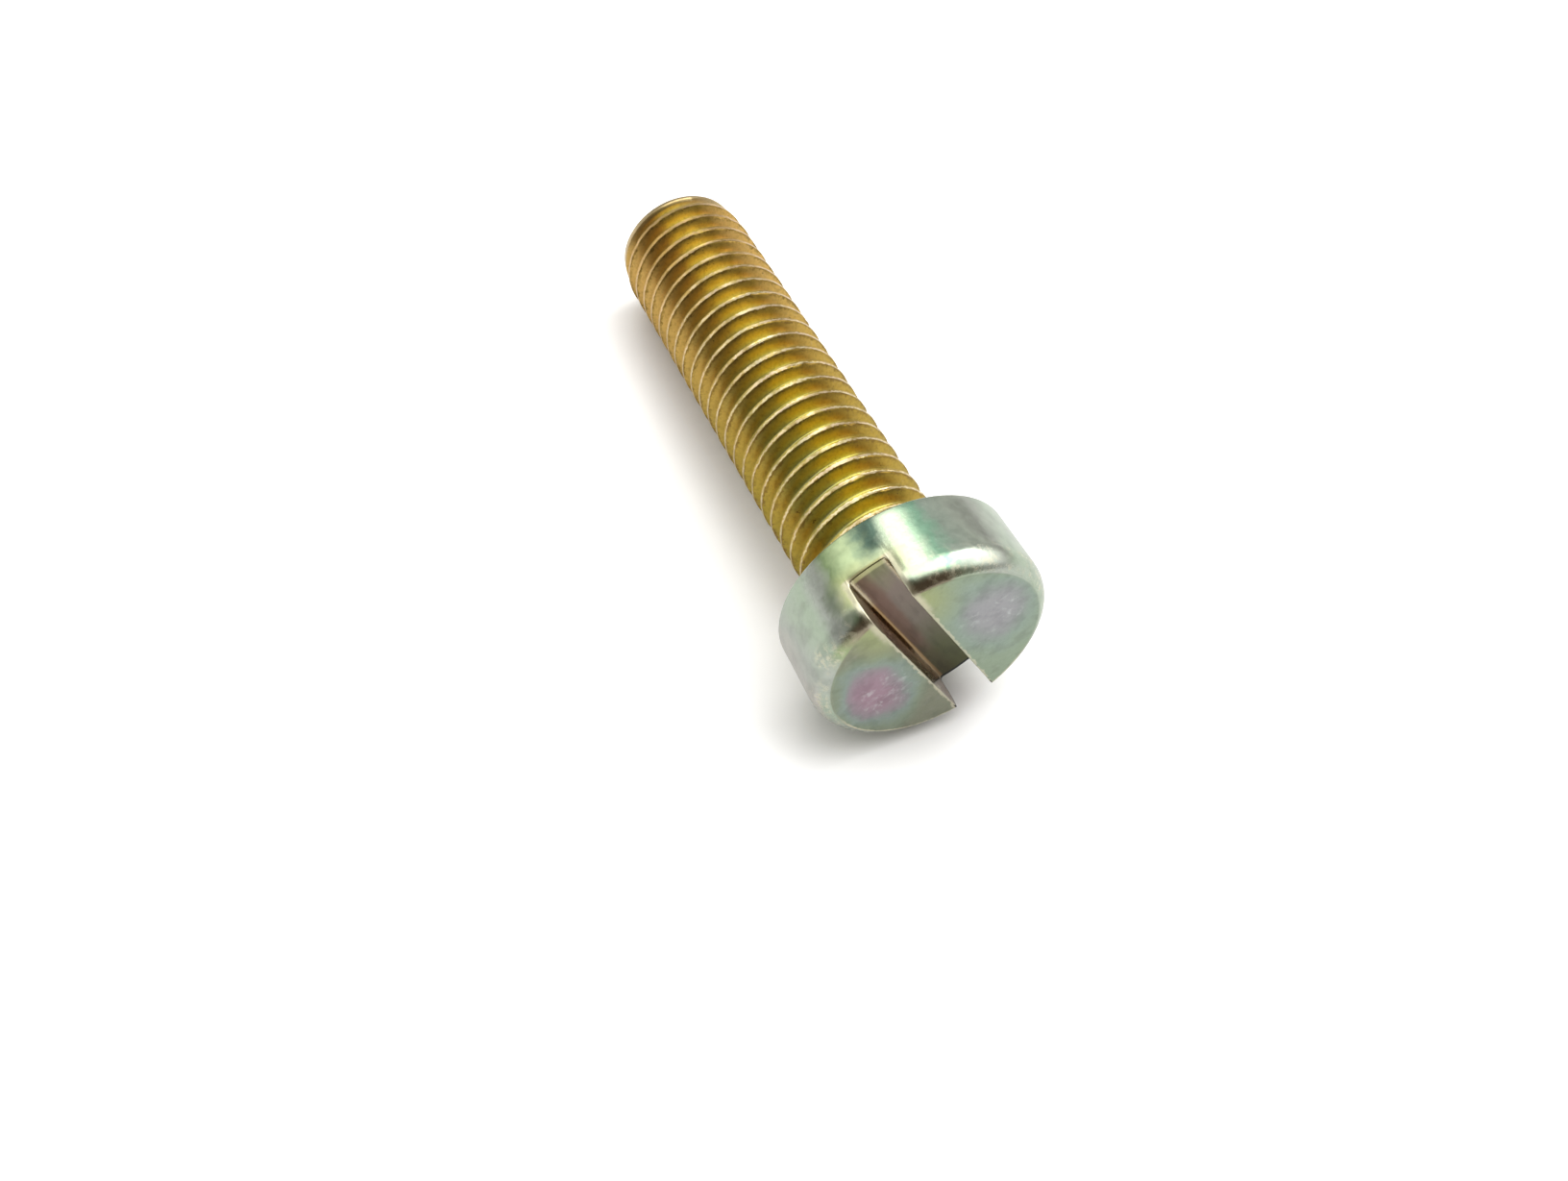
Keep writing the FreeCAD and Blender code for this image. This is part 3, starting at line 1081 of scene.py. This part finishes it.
def window_light():
    data = bpy.data.lights.new("window_light", "AREA")
    data.shape = "RECTANGLE"
    data.size = light_size[0] * MM
    data.size_y = light_size[1] * MM
    data.energy = light_watts
    lamp = bpy.data.objects.new("window_light", data)
    bpy.context.scene.collection.objects.link(lamp)
    way = Vector(light_direction).normalized()
    lamp.location = (Vector(light_aim) + way * light_distance) * MM
    lamp.rotation_euler = way.to_track_quat("Z", "Y").to_euler()


def world():
    """Room for the metal to reflect, with light and dark parts. Seen directly it is plain white."""
    sky = bpy.data.worlds.new("studio")
    bpy.context.scene.world = sky
    sky.use_nodes = True
    g = Graph(sky.node_tree)
    direction = g.nodes.new("ShaderNodeTexCoord").outputs["Generated"]
    split = g.nodes.new("ShaderNodeSeparateXYZ")
    g.set(split, 0, direction)
    height = g.math("MULTIPLY_ADD", split.outputs["Z"], 0.5, 0.5)
    colour = g.ramp(height, room_by_height)
    for aim, inner, outer, light in room_lights.values():
        lit = g.mix(g.lobe(direction, aim, inner, outer), (0, 0, 0), light)
        colour = g.mix(1.0, colour, lit, "ADD")
    for aim, inner, outer, shade in room_shades.values():
        colour = g.mix(g.lobe(direction, aim, inner, outer), colour, shade)
    seen = g.nodes.new("ShaderNodeLightPath").outputs["Is Camera Ray"]
    g.set(g.nodes["Background"], "Color", g.mix(seen, colour, (1, 1, 1)))


def camera():
    data = bpy.data.cameras.new("camera")
    data.sensor_width = sensor_width
    data.sensor_fit = "HORIZONTAL"
    data.lens = lens_length
    data.clip_start = MM
    view = bpy.data.objects.new("camera", data)
    bpy.context.scene.collection.objects.link(view)
    view.location = Vector(camera_place) * MM
    view.rotation_euler = (math.radians(90 - camera_down_deg), 0, math.radians(-camera_turn_deg))
    bpy.context.scene.camera = view


screw = bpy.data.objects.new("screw_body", screw_mesh())
bpy.context.scene.collection.objects.link(screw)
screw.data.materials.append(plated_steel())
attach(screw, "root")
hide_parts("screw")

floor()
world()
window_light()
camera()
bpy.context.scene.view_settings.view_transform = "Standard"
